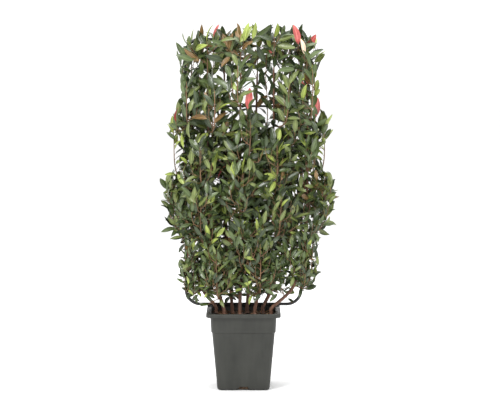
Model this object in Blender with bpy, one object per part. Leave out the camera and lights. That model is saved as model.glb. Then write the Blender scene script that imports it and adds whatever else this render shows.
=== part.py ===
"""Red tip photinia trained on a tube frame in a square nursery pot.

Metres, +Z up. The origin is the middle of the pot's flat underside, and the plant is seen from -Y.
"""

import math
import random
from functools import partial

import bmesh
import bpy
from mathutils import Matrix, Quaternion, Vector
from mathutils.bvhtree import BVHTree

NAME = "potted_red_tip_photinia"
SEED = 7
UP = Vector((0, 0, 1))
SIDES = (("left", -1), ("right", 1))

# The air between neighbouring solids
GAP = 0.0003

# The square pot: half widths across its flats, heights and wall
RIM_HALF = 0.125
RIM_HEIGHT = 0.262
LIP_DEPTH = 0.012
LIP_THICKNESS = 0.0022
COLLAR_TOP_HALF = 0.1115
COLLAR_FOOT_HALF = 0.1085
STEP_HEIGHT = 0.195
STEP_IN = 0.003
FOOT_HALF = 0.0885
FOOT_ROUND = 0.007
POT_WALL = 0.0025
POT_FLOOR = 0.004
RIM_CORNER = 0.024
FOOT_CORNER = 0.016
CORNER_STEPS = 3

# A drainage notch in the foot of each of the pot's sides
NOTCH_WIDTH = 0.040
NOTCH_HEIGHT = 0.012
NOTCH_DEPTH = 0.022
NOTCH_ROUND = 0.005
NOTCH_STEPS = 3

# The top of the potting mix, and the sides of the hole round each of the frame's legs
SOIL_HEIGHT = 0.244
HOLE_SIDES = 12

# The frame: one round-cornered tube with evenly spaced rungs, on the pot's rim and two legs
FRAME_HALF = 0.1983
FRAME_Y = 0.090
FRAME_TOP = 1.177
FRAME_BEND = 0.050
TUBE_RADIUS = 0.0055
RUNG_RADIUS = 0.004
RUNG_COUNT = 3
LEG_X = 0.072
LEG_FOOT = 0.150
BEND_STEPS = 5
BEND_LEAD = 0.004
TUBE_RESOLUTION = 2

# The crown: half its width where nothing stands out, half its depth, and its lowest and highest leaves
CROWN_X = 0.0186
CROWN_Y = 0.058
CROWN_FOOT = 0.272
CROWN_TOP = 1.234
CROWN_HALF = 0.242
CROWN_FOOT_HALF = 0.185
CROWN_TOP_HALF = 0.120
CROWN_DEPTH_HALF = 0.140
CROWN_TOP_DEPTH_HALF = 0.095
CROWN_WAIST = 0.700
FOOT_SPREAD = 0.090
TOP_SPREAD = 0.062
CROWN_SQUARENESS = 4.5

# Tiers of side shoots that stand out of the crown: their height, their reach, and how tall they are
SIDE_TIERS = (
    (0.400, 0.256, 0.060),
    (0.545, 0.338, 0.050),
    (0.665, 0.305, 0.100),
    (0.895, 0.288, 0.080),
    (1.160, 0.286, 0.045),
)

# Four stems a side, numbered from the middle outwards
STEM_FOOT_X = (0.012, 0.038, 0.066, 0.094)
STEM_TOP_X = (0.028, 0.084, 0.140, 0.196)
STEM_QUICKNESS = (1.8, 3.0, 5.0, 10.0)
STEM_RADIUS = (0.0064, 0.0058, 0.0062, 0.0058)
STEM_TIP_RADIUS = 0.0029
STEM_FLARE = 1.35
STEM_FLARE_HEIGHT = 0.008
STEM_EASE = 1.04
STEM_STEPS = 5
STEM_CROWDING = 1.5
STEM_WAVE = 0.003
STEM_WAVE_TURN = 6
STEM_END = (1.060, 1.075, 1.050, 1.030)
STEM_LEAN_QUICKNESS = 3.0

# The stems stand in a back and a front row before the frame: where a row starts and ends up
ROW_FOOT_Y = (0.040, -0.006)
ROW_TOP_Y = (0.0725, 0.0420)

# The masses on the stems' tips lean out to the back or the front
TIP_LENGTH = 0.112
TIP_LEAN = (0.42, 0.25)
TIP_SIDE_TWIGS = 4
TIP_BARE = 0.012
TIP_STRAIGHT = 0.014

# The tiers of masses on the stems' sides. Each mass has a name, a stem, its way out in degrees in
# each tier, and how far it starts above the foot of its tier
TIERS = ("low", "middle", "upper", "high")
TIER_FOOT = 0.300
TIER_RISE = 0.188
PLACES = (
    ("left", "left", 4, (212, 192, 195, 258), 0.030),
    ("right", "right", 4, (-25, 12, 20, -75), 0.045),
    ("front_left", "left", 3, (262, 238, 258, 285), 0.0),
    ("front_middle", "left", 1, (290, 270, 288, 268), 0.085),
    ("front_right", "right", 2, (275, 300, 282, 300), 0.020),
    ("back_left", "left", 2, (118, 140, 120, 145), 0.030),
    ("back_right", "right", 3, (112, 90, 118, 95), 0.030),
)
SIDE_LENGTH = 0.205
SIDE_TWIGS = 4
SIDE_BARE = 0.020
SIDE_TWIG_LENGTH = 0.075

# Twigs are three-sided and turn up towards the light. FIRST_ACROSS is where the corners start
TWIG_RADIUS = 0.0027
SIDE_TWIG_RADIUS = 0.0021
TWIG_TIP_RADIUS = 0.0011
TWIG_STEP = 0.042
TWIG_LIFT = 0.38
TWIG_INSET = 0.78
TWIG_TURN_BACK = 0.45
TWIG_WOBBLE = 0.12
TWIG_SIDES = 3
SIDE_TWIG_SPREAD = math.radians(52)
SIDE_TWIG_ZONE = 0.75
SIDE_TWIG_SHORTENING = 0.45
TWIG_TEST_FROM = 0.30
GOLDEN_ANGLE = math.radians(137.508)
FIRST_ACROSS = Vector((0.31, 0.87, 0.38))

# A leaf is a flat octahedron, folded along its midrib and bent down at its tip
LOW_LEAF_LENGTH = 0.090
TOP_LEAF_LENGTH = 0.112
LEAF_WIDTH_SHARE = 0.52
LEAF_THICK_SHARE = 0.025
LEAF_WIDEST = 0.46
LEAF_FOLD_SHARE = 0.03
LEAF_DROOP_SHARE = 0.10
LEAF_SPACING = 0.029
LEAF_FACING = 0.9
LEAF_LENGTH_RISE = 1.3
LEAF_LENGTH_RANGE = (0.9, 1.08)
LEAF_SPREAD_LOW = math.radians(66)
LEAF_SPREAD_TIP = math.radians(22)
LEAF_SPREAD_RANGE = (0.85, 1.1)
LEAF_TRIES = 18
AXIS_TRIES = 30
LEAF_SHRINK = 0.98
LEAF_SUNK = 0.0002
LEAF_TEST_FROM = 0.16

# A leaf keeps this far from the middle between two masses, and from whatever else stands there
SPACE_MARGIN = 0.0008
CLEARANCE = 0.0012
CLEARANCE_SIDES = 6


def clear_scene():
    """Takes away whatever the scene holds."""
    for thing in list(bpy.data.objects):
        bpy.data.objects.remove(thing, do_unlink=True)


def new_collection(name):
    """A collection in the scene."""
    made = bpy.data.collections.new(name)
    bpy.context.scene.collection.children.link(made)
    return made


def new_material(name, colour, roughness, metallic=0.0):
    """A Principled BSDF with a plain colour."""
    made = bpy.data.materials.new(name)
    made.use_nodes = True
    shader = made.node_tree.nodes["Principled BSDF"]
    shader.inputs["Base Color"].default_value = (*colour, 1.0)
    shader.inputs["Roughness"].default_value = roughness
    shader.inputs["Metallic"].default_value = metallic
    return made


def new_object(name, data, collection, material=None):
    """An object for a mesh or a curve, in a collection, with its material."""
    made = bpy.data.objects.new(name, data)
    collection.objects.link(made)
    if material:
        data.materials.append(material)
    return made


def mesh_from(bm, name):
    """Turns a bmesh into a mesh whose faces point out."""
    bmesh.ops.recalc_face_normals(bm, faces=bm.faces)
    mesh = bpy.data.meshes.new(name)
    bm.to_mesh(mesh)
    bm.free()
    return mesh


def loft(rings):
    """The corners and faces of a closed body through rings of equal count, with flat ends."""
    count = len(rings[0])
    corners = [point for ring in rings for point in ring]
    faces = [tuple(range(count))[::-1], tuple(range(len(corners) - count, len(corners)))]
    for row in range(len(rings) - 1):
        for i in range(count):
            j = (i + 1) % count
            low = row * count
            faces.append((low + i, low + j, low + count + j, low + count + i))
    return corners, faces


def mesh_of(name, corners, faces):
    """A mesh from corners and faces."""
    mesh = bpy.data.meshes.new(name)
    mesh.from_pydata(corners, [], faces)
    bm = bmesh.new()
    bm.from_mesh(mesh)
    bpy.data.meshes.remove(mesh)
    return mesh_from(bm, name)


def drop_scraps(mesh):
    """Keeps only the body with the most faces."""
    bm = bmesh.new()
    bm.from_mesh(mesh)
    bmesh.ops.triangulate(bm, faces=bm.faces)
    left = set(bm.faces)
    bodies = []
    while left:
        body = [left.pop()]
        for face in body:
            for edge in face.edges:
                for other in edge.link_faces:
                    if other in left:
                        left.remove(other)
                        body.append(other)
        bodies.append(body)
    bodies.sort(key=len)
    scraps = [face for body in bodies[:-1] for face in body]
    bmesh.ops.delete(bm, geom=scraps, context="FACES")
    bm.to_mesh(mesh)
    bm.free()


def rounded_square(half, corner, height):
    """A ring of points round a square with round corners, level at a height."""
    ring = []
    for quarter in range(4):
        middle = math.radians(90 * quarter + 45)
        centre_x = math.copysign(half - corner, math.cos(middle))
        centre_y = math.copysign(half - corner, math.sin(middle))
        for step in range(CORNER_STEPS + 1):
            angle = math.radians(90) * (quarter + step / CORNER_STEPS)
            x = centre_x + corner * math.cos(angle)
            y = centre_y + corner * math.sin(angle)
            ring.append(Vector((x, y, height)))
    return ring


def corner_at(height):
    """The radius of the pot's outer corners, which grows a little towards the rim."""
    return FOOT_CORNER + (RIM_CORNER - FOOT_CORNER) * height / RIM_HEIGHT


def pot_outside():
    """Half widths and heights up the outside of the pot, from its foot to the top of its rim."""
    lip_foot = RIM_HEIGHT - LIP_DEPTH
    flange = RIM_HEIGHT - LIP_THICKNESS
    inner_lip = RIM_HALF - LIP_THICKNESS
    rounded_foot = []
    for degrees in (0, 45, 90):
        angle = math.radians(degrees)
        half = FOOT_HALF - FOOT_ROUND * (1 - math.sin(angle))
        rounded_foot.append((half, FOOT_ROUND * (1 - math.cos(angle))))
    return rounded_foot + [
        (COLLAR_FOOT_HALF - STEP_IN, STEP_HEIGHT),
        (COLLAR_FOOT_HALF, STEP_HEIGHT + STEP_IN),
        (COLLAR_TOP_HALF, flange),
        (inner_lip, flange),
        (inner_lip, lip_foot),
        (RIM_HALF, lip_foot),
        (RIM_HALF, flange),
        (inner_lip, RIM_HEIGHT),
    ]


def pot_inside():
    """Half widths and heights up the inside of the pot, from its floor to the top of its rim."""
    return [
        (FOOT_HALF - POT_WALL, POT_FLOOR),
        (COLLAR_FOOT_HALF - STEP_IN - POT_WALL, STEP_HEIGHT),
        (COLLAR_FOOT_HALF - POT_WALL, STEP_HEIGHT + STEP_IN),
        (COLLAR_TOP_HALF - POT_WALL, RIM_HEIGHT),
    ]


def inside_half(height):
    """Half the width inside the pot at a height."""
    wall = pot_inside()
    for (half, low), (next_half, high) in zip(wall, wall[1:]):
        if height <= high:
            return half + (next_half - half) * (height - low) / (high - low)
    return wall[-1][0]


def cut(target, cutter):
    """Takes the cutter's shape out of the target, and hides the cutter."""
    cutter.hide_render = True
    cutter.display_type = "WIRE"
    modifier = target.modifiers.new("cut_" + cutter.name, "BOOLEAN")
    modifier.operation = "DIFFERENCE"
    modifier.solver = "EXACT"
    modifier.object = cutter


def make_notch_cutter(name, turn, cutters):
    """A block with a round top that cuts one drainage notch, turned to its side of the pot."""
    bm = bmesh.new()
    size = Matrix.Diagonal((NOTCH_WIDTH, NOTCH_DEPTH, 2 * NOTCH_HEIGHT, 1))
    bmesh.ops.create_cube(bm, size=1.0, matrix=size)
    shoulders = [e for e in bm.edges if e.verts[0].co.z > 0 and e.verts[1].co.z > 0]
    shoulders = [e for e in shoulders if abs(e.verts[0].co.x - e.verts[1].co.x) < GAP]
    bmesh.ops.bevel(bm, geom=shoulders, offset=NOTCH_ROUND, segments=NOTCH_STEPS, affect="EDGES")
    place = turn @ Matrix.Translation((0, -FOOT_HALF, 0))
    bmesh.ops.transform(bm, matrix=place, verts=bm.verts)
    return new_object(name, mesh_from(bm, name), cutters)


def make_pot(parts, cutters):
    """The pot: one moulded wall with a turned-down lip, and a notch in the foot of each side."""
    outside = [rounded_square(half, corner_at(z), z) for half, z in pot_outside()]
    inside = [rounded_square(half, corner_at(z) - POT_WALL, z) for half, z in pot_inside()]
    material = new_material("pot_plastic", (0.045, 0.047, 0.040), 0.5)
    pot = new_object("pot", mesh_of("pot", *loft(outside + inside[::-1])), parts, material)
    for side in range(4):
        turn = Matrix.Rotation(math.radians(90 * side), 4, "Z")
        cut(pot, make_notch_cutter(f"notch_{side + 1}", turn, cutters))


def make_potting_mix(parts, cutters):
    """The potting mix: it fills the pot, with a hole for each of the frame's legs."""
    foot = POT_FLOOR + GAP
    heights = (foot, STEP_HEIGHT - GAP, STEP_HEIGHT + STEP_IN, SOIL_HEIGHT)
    rings = []
    for height in heights:
        half = inside_half(height) - 2 * GAP
        rings.append(rounded_square(half, corner_at(height) - POT_WALL - GAP, height))
    material = new_material("potting_mix", (0.035, 0.022, 0.014), 0.95)
    mix = new_object("potting_mix", mesh_of("potting_mix", *loft(rings)), parts, material)
    depth = 2 * (SOIL_HEIGHT - LEG_FOOT + GAP)
    for word, side in SIDES:
        bm = bmesh.new()
        place = Matrix.Translation((side * LEG_X, FRAME_Y, SOIL_HEIGHT))
        radius = TUBE_RADIUS + GAP
        bmesh.ops.create_cone(
            bm, cap_ends=True, segments=HOLE_SIDES, radius1=radius, radius2=radius, depth=depth, matrix=place
        )
        name = f"leg_hole_{word}"
        cut(mix, new_object(name, mesh_from(bm, name), cutters))


def make_tube(name, points, radii, parts, material):
    """A round bar as a curve with filled ends, through points that have a radius each."""
    curve = bpy.data.curves.new(name, "CURVE")
    curve.dimensions = "3D"
    curve.bevel_depth = 1.0
    curve.bevel_resolution = TUBE_RESOLUTION
    curve.use_fill_caps = True
    spline = curve.splines.new("POLY")
    spline.points.add(len(points) - 1)
    for spot, point, radius in zip(spline.points, points, radii):
        spot.co = (*point, 1.0)
        spot.radius = radius
    return new_object(name, curve, parts, material)


def frame_bars():
    """The name, the points and the radius of each bar of the frame."""
    foot = RIM_HEIGHT + GAP + TUBE_RADIUS
    straight = FRAME_HALF - FRAME_BEND - BEND_LEAD - GAP
    low = foot + FRAME_BEND + BEND_LEAD + GAP
    high = FRAME_TOP - FRAME_BEND - BEND_LEAD - GAP
    bars = []
    for word, z in (("foot", foot), ("top", FRAME_TOP)):
        ends = [Vector((-straight, FRAME_Y, z)), Vector((straight, FRAME_Y, z))]
        bars.append((f"frame_{word}_bar", ends, TUBE_RADIUS))
    for word, side in SIDES:
        x = side * FRAME_HALF
        ends = [Vector((x, FRAME_Y, low)), Vector((x, FRAME_Y, high))]
        bars.append((f"frame_post_{word}", ends, TUBE_RADIUS))
        leg_top = foot - TUBE_RADIUS - GAP
        leg = [Vector((side * LEG_X, FRAME_Y, z)) for z in (LEG_FOOT, leg_top)]
        bars.append((f"frame_leg_{word}", leg, TUBE_RADIUS))
        for height, z, rise in (("foot", foot, 1), ("top", FRAME_TOP, -1)):
            centre = Vector((side * (FRAME_HALF - FRAME_BEND), FRAME_Y, z + rise * FRAME_BEND))
            arc = []
            for step in range(BEND_STEPS + 1):
                angle = math.radians(90) * step / BEND_STEPS
                out = Vector((side * math.sin(angle), 0, -rise * math.cos(angle)))
                arc.append(centre + FRAME_BEND * out)
            start = arc[0] - Vector((side * BEND_LEAD, 0, 0))
            end = arc[-1] + rise * BEND_LEAD * UP
            bars.append((f"frame_bend_{height}_{word}", [start, *arc, end], TUBE_RADIUS))
    reach = FRAME_HALF - TUBE_RADIUS - GAP
    for number in range(1, RUNG_COUNT + 1):
        z = foot + (FRAME_TOP - foot) * number / (RUNG_COUNT + 1)
        ends = [Vector((-reach, FRAME_Y, z)), Vector((reach, FRAME_Y, z))]
        bars.append((f"frame_rung_{number}", ends, RUNG_RADIUS))
    return bars


def row_of(side, number):
    """Which row a stem stands in, 0 for the back and 1 for the front. They take turns."""
    return number % 2 if side < 0 else (number + 1) % 2


def stem_path(side, number):
    """Points and radii up a stem, from its flat foot on the potting mix to its tip."""
    index = number - 1
    row = row_of(side, number)
    foot = Vector((side * STEM_FOOT_X[index], ROW_FOOT_Y[row], SOIL_HEIGHT + GAP))
    start = Vector((foot.x * STEM_EASE, foot.y, RIM_HEIGHT + STEM_FLARE_HEIGHT))
    top = Vector((CROWN_X + side * STEM_TOP_X[index], ROW_TOP_Y[row], STEM_END[index]))
    points = [foot, foot + STEM_FLARE_HEIGHT * UP]
    radii = [STEM_RADIUS[index] * STEM_FLARE, STEM_RADIUS[index]]
    for step in range(STEM_STEPS + 1):
        share = (step / STEM_STEPS) ** STEM_CROWDING
        across = 1 - (1 - share) ** STEM_QUICKNESS[index]
        back = 1 - (1 - share) ** STEM_LEAN_QUICKNESS
        wave = STEM_WAVE * math.sin(STEM_WAVE_TURN * share + number) * math.sin(math.pi * share)
        x = start.x + (top.x - start.x) * across + wave
        y = start.y + (top.y - start.y) * back
        z = start.z + (top.z - start.z) * share
        points.append(Vector((x, y, z)))
        radii.append(STEM_RADIUS[index] + (STEM_TIP_RADIUS - STEM_RADIUS[index]) * share)
    return points, radii


def along(points, radii, height):
    """The point, direction and radius of a rising path at a height."""
    for low, high, thick, thin in zip(points, points[1:], radii, radii[1:]):
        if height <= high.z:
            share = (height - low.z) / (high.z - low.z)
            return low.lerp(high, share), (high - low).normalized(), thick + (thin - thick) * share
    return points[-1], (points[-1] - points[-2]).normalized(), radii[-1]


def rings_round(points, radii, sides):
    """Rings of a few points across a path, one at each of its points."""
    rings = []
    across = FIRST_ACROSS
    for i, (point, radius) in enumerate(zip(points, radii)):
        way = (points[min(i + 1, len(points) - 1)] - points[max(i - 1, 0)]).normalized()
        across = (across - across.dot(way) * way).normalized()
        other = way.cross(across)
        ring = []
        for side in range(sides):
            angle = 2 * math.pi * side / sides
            ring.append(point + radius * (math.cos(angle) * across + math.sin(angle) * other))
        rings.append(ring)
    return rings


def bounds_of(corners):
    """The middle of a shape and how far it reaches from there."""
    middle = sum(corners, Vector()) / len(corners)
    return middle, max((corner - middle).length for corner in corners)


class Taken:
    """What stands in the crown already: closed shapes, each with its owner, middle and reach."""

    def __init__(self):
        self.shapes = []

    def add(self, owner, corners, faces):
        """Notes a shape."""
        self.shapes.append((owner, *bounds_of(corners), BVHTree.FromPolygons(corners, faces)))

    def add_tube(self, owner, points, radii):
        """Notes a bar or a twig, with air round it, one straight stretch at a time."""
        for i in range(len(points) - 1):
            fat = [radius + CLEARANCE for radius in radii[i:i + 2]]
            self.add(owner, *loft(rings_round(points[i:i + 2], fat, CLEARANCE_SIDES)))

    def touches(self, owner, whole, outer, faces):
        """Whether a shape runs into others' shapes, or its outer part into its owner's own."""
        middle, reach = bounds_of(whole)
        whole_tree = BVHTree.FromPolygons(whole, faces)
        outer_tree = BVHTree.FromPolygons(outer, faces)
        for other_owner, other_middle, other_reach, other in self.shapes:
            tree = outer_tree if other_owner == owner else whole_tree
            if (other_middle - middle).length < reach + other_reach and tree.overlap(other):
                return True
        return False


def half_width(z):
    """Half the crown's width at a height."""
    half = CROWN_HALF
    if z < CROWN_FOOT + FOOT_SPREAD:
        share = (z - CROWN_FOOT) / FOOT_SPREAD
        half = CROWN_FOOT_HALF + (CROWN_HALF - CROWN_FOOT_HALF) * share
    if z > CROWN_TOP - TOP_SPREAD:
        share = (CROWN_TOP - z) / TOP_SPREAD
        half = CROWN_TOP_HALF + (CROWN_HALF - CROWN_TOP_HALF) * share
    for height, reach, spread in SIDE_TIERS:
        share = 1 - abs(z - height) / spread
        half = max(half, CROWN_HALF + (reach - CROWN_HALF) * min(1, 2 * share))
    return half


def half_depth(z):
    """Half the crown's depth at a height: full up to its middle, and less towards its top."""
    share = max(0, (z - CROWN_WAIST) / (CROWN_TOP - CROWN_WAIST))
    return CROWN_DEPTH_HALF + (CROWN_TOP_DEPTH_HALF - CROWN_DEPTH_HALF) * share ** 2


def in_crown(point, inset=1):
    """Whether a point lies within the crown's outline, or within a share of its width."""
    if not CROWN_FOOT < point.z < CROWN_TOP:
        return False
    across = abs(point.x - CROWN_X) / (half_width(point.z) * inset)
    deep = abs(point.y - CROWN_Y) / (half_depth(point.z) * inset)
    return across ** CROWN_SQUARENESS + deep ** CROWN_SQUARENESS <= 1


def distance_to_path(point, path):
    """How far a point is from the nearest stretch of a path."""
    nearest = math.inf
    for low, high in zip(path, path[1:]):
        run = high - low
        share = min(1, max(0, (point - low).dot(run) / run.dot(run)))
        nearest = min(nearest, (point - low - share * run).length)
    return nearest


def in_own_space(corners, index, axes):
    """Whether a shape's corners all lie nearer to its own mass's stem than to any other's."""
    for corner in corners:
        own = distance_to_path(corner, axes[index])
        for other, axis in enumerate(axes):
            if other != index and distance_to_path(corner, axis) < own + SPACE_MARGIN:
                return False
    return True


def twig_path(start, way, length, rng):
    """Points along a twig: straight off at first, then up, and back in near the crown's edge."""
    count = max(2, round(length / TWIG_STEP))
    points = [start]
    for _ in range(count):
        points.append(points[-1] + way * length / count)
        wobble = Vector([rng.uniform(-1, 1) for _ in range(3)])
        way = way + TWIG_LIFT * UP + TWIG_WOBBLE * wobble
        if not in_crown(points[-1] + way.normalized() * length / count, TWIG_INSET):
            way = way * TWIG_TURN_BACK + UP
        way.normalize()
    return points


def tapered(points, thick):
    """Radii that taper along a twig to its tip."""
    last = len(points) - 1
    return [thick + (TWIG_TIP_RADIUS - thick) * i / last for i in range(last + 1)]


def walk(points, distance):
    """The point and the direction at a distance along a path."""
    for low, high in zip(points, points[1:]):
        length = (high - low).length
        if distance <= length:
            return low.lerp(high, distance / length), (high - low) / length
        distance -= length
    return points[-1], (points[-1] - points[-2]).normalized()


def path_length(points):
    """The length of a path."""
    return sum((high - low).length for low, high in zip(points, points[1:]))


def twig_shapes(points, thick):
    """A twig's corners, the corners of the part that stands clear of its foot, and its faces."""
    radii = tapered(points, thick)
    whole, faces = loft(rings_round(points, radii, TWIG_SIDES))
    clear = [points[0].lerp(points[1], TWIG_TEST_FROM), *points[1:]]
    return whole, loft(rings_round(clear, radii, TWIG_SIDES))[0], faces


def aside(way, spread, turn):
    """A direction at an angle off another, turned round it."""
    across = way.orthogonal().normalized()
    across.rotate(Quaternion(way, turn))
    return (math.cos(spread) * way + math.sin(spread) * across).normalized()


def leaf(root, way, light, length):
    """The corners and faces of a leaf: a thin folded octahedron whose upper side faces the light."""
    across = light.cross(way).normalized()
    face_up = way.cross(across)
    half_across = across * length * LEAF_WIDTH_SHARE / 2
    thick = face_up * length * LEAF_THICK_SHARE / 2
    middle = root + way * length * LEAF_WIDEST
    ridge = middle - face_up * length * LEAF_FOLD_SHARE
    tip = root + way * length - face_up * length * LEAF_DROOP_SHARE
    corners = [root, tip, middle + half_across, middle - half_across, ridge + thick, ridge - thick]
    faces = []
    for edge in ((0, 2), (2, 1), (1, 3), (3, 0)):
        faces.append((edge[0], edge[1], 4))
        faces.append((edge[1], edge[0], 5))
    return corners, faces


def outwards(point):
    """The way out of the crown, to the front or the back."""
    return Vector(((point.x - CROWN_X) / CROWN_HALF / 2, math.copysign(1, point.y - CROWN_Y), 0))


def leaf_spots(points, bare, rng):
    """Where leaves grow on a twig: the distance along it, and how far each leaf leans out."""
    length = path_length(points)
    count = max(1, int((length - bare) / LEAF_SPACING))
    for i in range(count + 1):
        share = i / count
        distance = bare + (length - bare) * share - (SIDE_TWIG_RADIUS if i == count else 0)
        spread = LEAF_SPREAD_LOW + (LEAF_SPREAD_TIP - LEAF_SPREAD_LOW) * (distance / length) ** 2
        yield distance, spread * rng.uniform(*LEAF_SPREAD_RANGE)


def leaf_length(z):
    """How long leaves are at a height: the higher, the longer."""
    share = (z - CROWN_FOOT) / (CROWN_TOP - CROWN_FOOT)
    return LOW_LEAF_LENGTH + (TOP_LEAF_LENGTH - LOW_LEAF_LENGTH) * min(1, share * LEAF_LENGTH_RISE)


class Mass:
    """One mass of foliage: its stem, its side twigs and its leaves."""

    def __init__(self, name, axis, side_twigs, bare, material):
        self.name = name
        self.axis = axis
        self.side_twigs = side_twigs
        self.bare = bare
        self.material = material
        self.twigs = []
        self.solids = []

    def add_twig(self, points, thick, bare, taken):
        """Adds a twig and notes it as taken space."""
        radii = tapered(points, thick)
        self.twigs.append((points, bare))
        self.solids.append(loft(rings_round(points, radii, TWIG_SIDES)))
        taken.add_tube(self.name, points, radii)

    def grow_side_twigs(self, index, axes, taken, rng):
        """Adds side twigs round the mass's stem, the lowest the longest."""
        length = path_length(self.axis)
        turn = rng.uniform(0, 2 * math.pi)
        for i in range(self.side_twigs):
            share = i / self.side_twigs
            start, way = walk(self.axis, self.bare + (length - self.bare) * SIDE_TWIG_ZONE * share)
            reach = SIDE_TWIG_LENGTH * (1 - SIDE_TWIG_SHORTENING * share)
            for _ in range(LEAF_TRIES):
                turn += GOLDEN_ANGLE
                points = twig_path(start, aside(way, SIDE_TWIG_SPREAD, turn), reach, rng)
                if not all(in_crown(point) for point in points[1:]):
                    continue
                if not in_own_space(points[1:], index, axes):
                    continue
                if not taken.touches(self.name, *twig_shapes(points, SIDE_TWIG_RADIUS)):
                    self.add_twig(points, SIDE_TWIG_RADIUS, LEAF_SPACING, taken)
                    break

    def grow_leaves(self, index, axes, taken, rng):
        """Adds leaves in a spiral round each twig, where they fit."""
        for points, bare in self.twigs:
            turn = rng.uniform(0, 2 * math.pi)
            for distance, spread in leaf_spots(points, bare, rng):
                spot, way = walk(points, distance)
                length = leaf_length(spot.z) * rng.uniform(*LEAF_LENGTH_RANGE)
                for _ in range(LEAF_TRIES):
                    turn += GOLDEN_ANGLE
                    leaf_way = aside(way, spread, turn)
                    light = way + LEAF_FACING * outwards(spot)
                    whole, faces = leaf(spot - leaf_way * LEAF_SUNK, leaf_way, light, length)
                    outer = [whole[0].lerp(whole[1], LEAF_TEST_FROM), *whole[1:]]
                    length *= LEAF_SHRINK
                    if not all(in_crown(corner) for corner in whole):
                        continue
                    if not in_own_space(whole[1:], index, axes):
                        continue
                    if not taken.touches(self.name, whole, outer, faces):
                        self.solids.append((whole, faces))
                        taken.add(self.name, outer, faces)
                        break

    def fuse(self, parts):
        """Joins the twigs and leaves into one solid."""
        scrap = new_collection(self.name + "_pieces")
        pieces = []
        for i, (corners, faces) in enumerate(self.solids):
            name = f"{self.name}_piece_{i}"
            pieces.append(new_object(name, mesh_of(name, corners, faces), scrap))
        stem = pieces[0]
        scrap.objects.unlink(stem)
        parts.objects.link(stem)
        union = stem.modifiers.new("fuse", "BOOLEAN")
        union.operation = "UNION"
        union.operand_type = "COLLECTION"
        union.solver = "MANIFOLD"
        union.collection = scrap
        graph = bpy.context.evaluated_depsgraph_get()
        fused = bpy.data.meshes.new_from_object(stem.evaluated_get(graph))
        for piece in pieces:
            bpy.data.objects.remove(piece, do_unlink=True)
        bpy.data.collections.remove(scrap)
        fused.name = self.name
        fused.materials.clear()
        drop_scraps(fused)
        new_object(self.name, fused, parts, self.material)


def tip_axis(path, row, rng):
    """The stem of a mass that carries on from a stem's tip and leans to the back or the front."""
    way = (path[-1] - path[-2]).normalized()
    start = path[-1] + way * GAP
    bend = start + way * TIP_STRAIGHT
    lean = (UP + TIP_LEAN[row] * Vector((0, 1 - 2 * row, 0))).normalized()
    return [start] + twig_path(bend, lean, TIP_LENGTH, rng)


def side_axis(path, radii, height, degrees, rng):
    """The stem of a mass that starts on the side of a stem, square to it, and turns up."""
    point, stem_way, radius = along(path, radii, height)
    out = Vector((math.cos(math.radians(degrees)), math.sin(math.radians(degrees)), 0))
    way = (out - out.dot(stem_way) * stem_way).normalized()
    return twig_path(point + way * (radius + GAP), way, SIDE_LENGTH, rng)


def clear_mass(name, stem, draw_axis, side_twigs, bare, material, taken):
    """A mass with the first of its possible stems that runs into nothing."""
    for _ in range(AXIS_TRIES):
        axis = draw_axis()
        if not taken.touches(stem, *twig_shapes(axis, TWIG_RADIUS)):
            break
    mass = Mass(name, axis, side_twigs, bare, material)
    mass.add_twig(axis, TWIG_RADIUS, bare, taken)
    return mass


def plan_masses(stems, taken, rng):
    """Every mass with its stem, before any of them has leaves."""
    bronze = new_material("leaves_bronze", (0.16, 0.10, 0.04), 0.4)
    fresh = new_material("leaves_fresh", (0.12, 0.21, 0.04), 0.4)
    mature = new_material("leaves_mature", (0.035, 0.085, 0.022), 0.4)
    masses = []
    for word, side in SIDES:
        for number in range(1, len(STEM_TOP_X) + 1):
            stem = f"stem_{word}_{number}"
            draw_axis = partial(tip_axis, stems[stem][0], row_of(side, number), rng)
            colour = bronze if number % 2 else fresh
            name = f"foliage_top_{word}_{number}"
            masses.append(clear_mass(name, stem, draw_axis, TIP_SIDE_TWIGS, TIP_BARE, colour, taken))
    for tier, tier_word in enumerate(TIERS):
        for place, word, number, ways, rise in PLACES:
            stem = f"stem_{word}_{number}"
            height = TIER_FOOT + TIER_RISE * tier + rise
            draw_axis = partial(side_axis, *stems[stem], height, ways[tier], rng)
            name = f"foliage_{tier_word}_{place}"
            masses.append(clear_mass(name, stem, draw_axis, SIDE_TWIGS, SIDE_BARE, mature, taken))
    return masses


def make_foliage(stems, taken, parts):
    """All the masses: stems first, then side twigs, then leaves, so that none takes another's room."""
    rng = random.Random(SEED)
    masses = plan_masses(stems, taken, rng)
    axes = [mass.axis for mass in masses]
    for index, mass in enumerate(masses):
        mass.grow_side_twigs(index, axes, taken, rng)
    for index, mass in enumerate(masses):
        mass.grow_leaves(index, axes, taken, rng)
    for mass in masses:
        mass.fuse(parts)


def main():
    """Makes the pot, its filling, the frame, the stems and the foliage."""
    clear_scene()
    parts = new_collection(NAME)
    cutters = new_collection("cutters")
    taken = Taken()
    make_pot(parts, cutters)
    make_potting_mix(parts, cutters)
    coating = new_material("frame_coating", (0.012, 0.012, 0.012), 0.45)
    for name, points, radius in frame_bars():
        radii = [radius] * len(points)
        make_tube(name, points, radii, parts, coating)
        taken.add_tube(name, points, radii)
    bark = new_material("stem_bark", (0.13, 0.06, 0.035), 0.75)
    stems = {}
    for word, side in SIDES:
        for number in range(1, len(STEM_TOP_X) + 1):
            points, radii = stem_path(side, number)
            name = f"stem_{word}_{number}"
            stems[name] = (points, radii)
            make_tube(name, points, radii, parts, bark)
            taken.add_tube(name, points, radii)
    make_foliage(stems, taken, parts)


main()
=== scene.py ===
"""Looks of the potted red tip photinia: pot, potting mix, frame, stems, twigs and leaves.

Metres, +Z up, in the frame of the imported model. The crown is seen from -Y.
"""

import math
import random
from dataclasses import dataclass
from functools import partial

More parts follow.
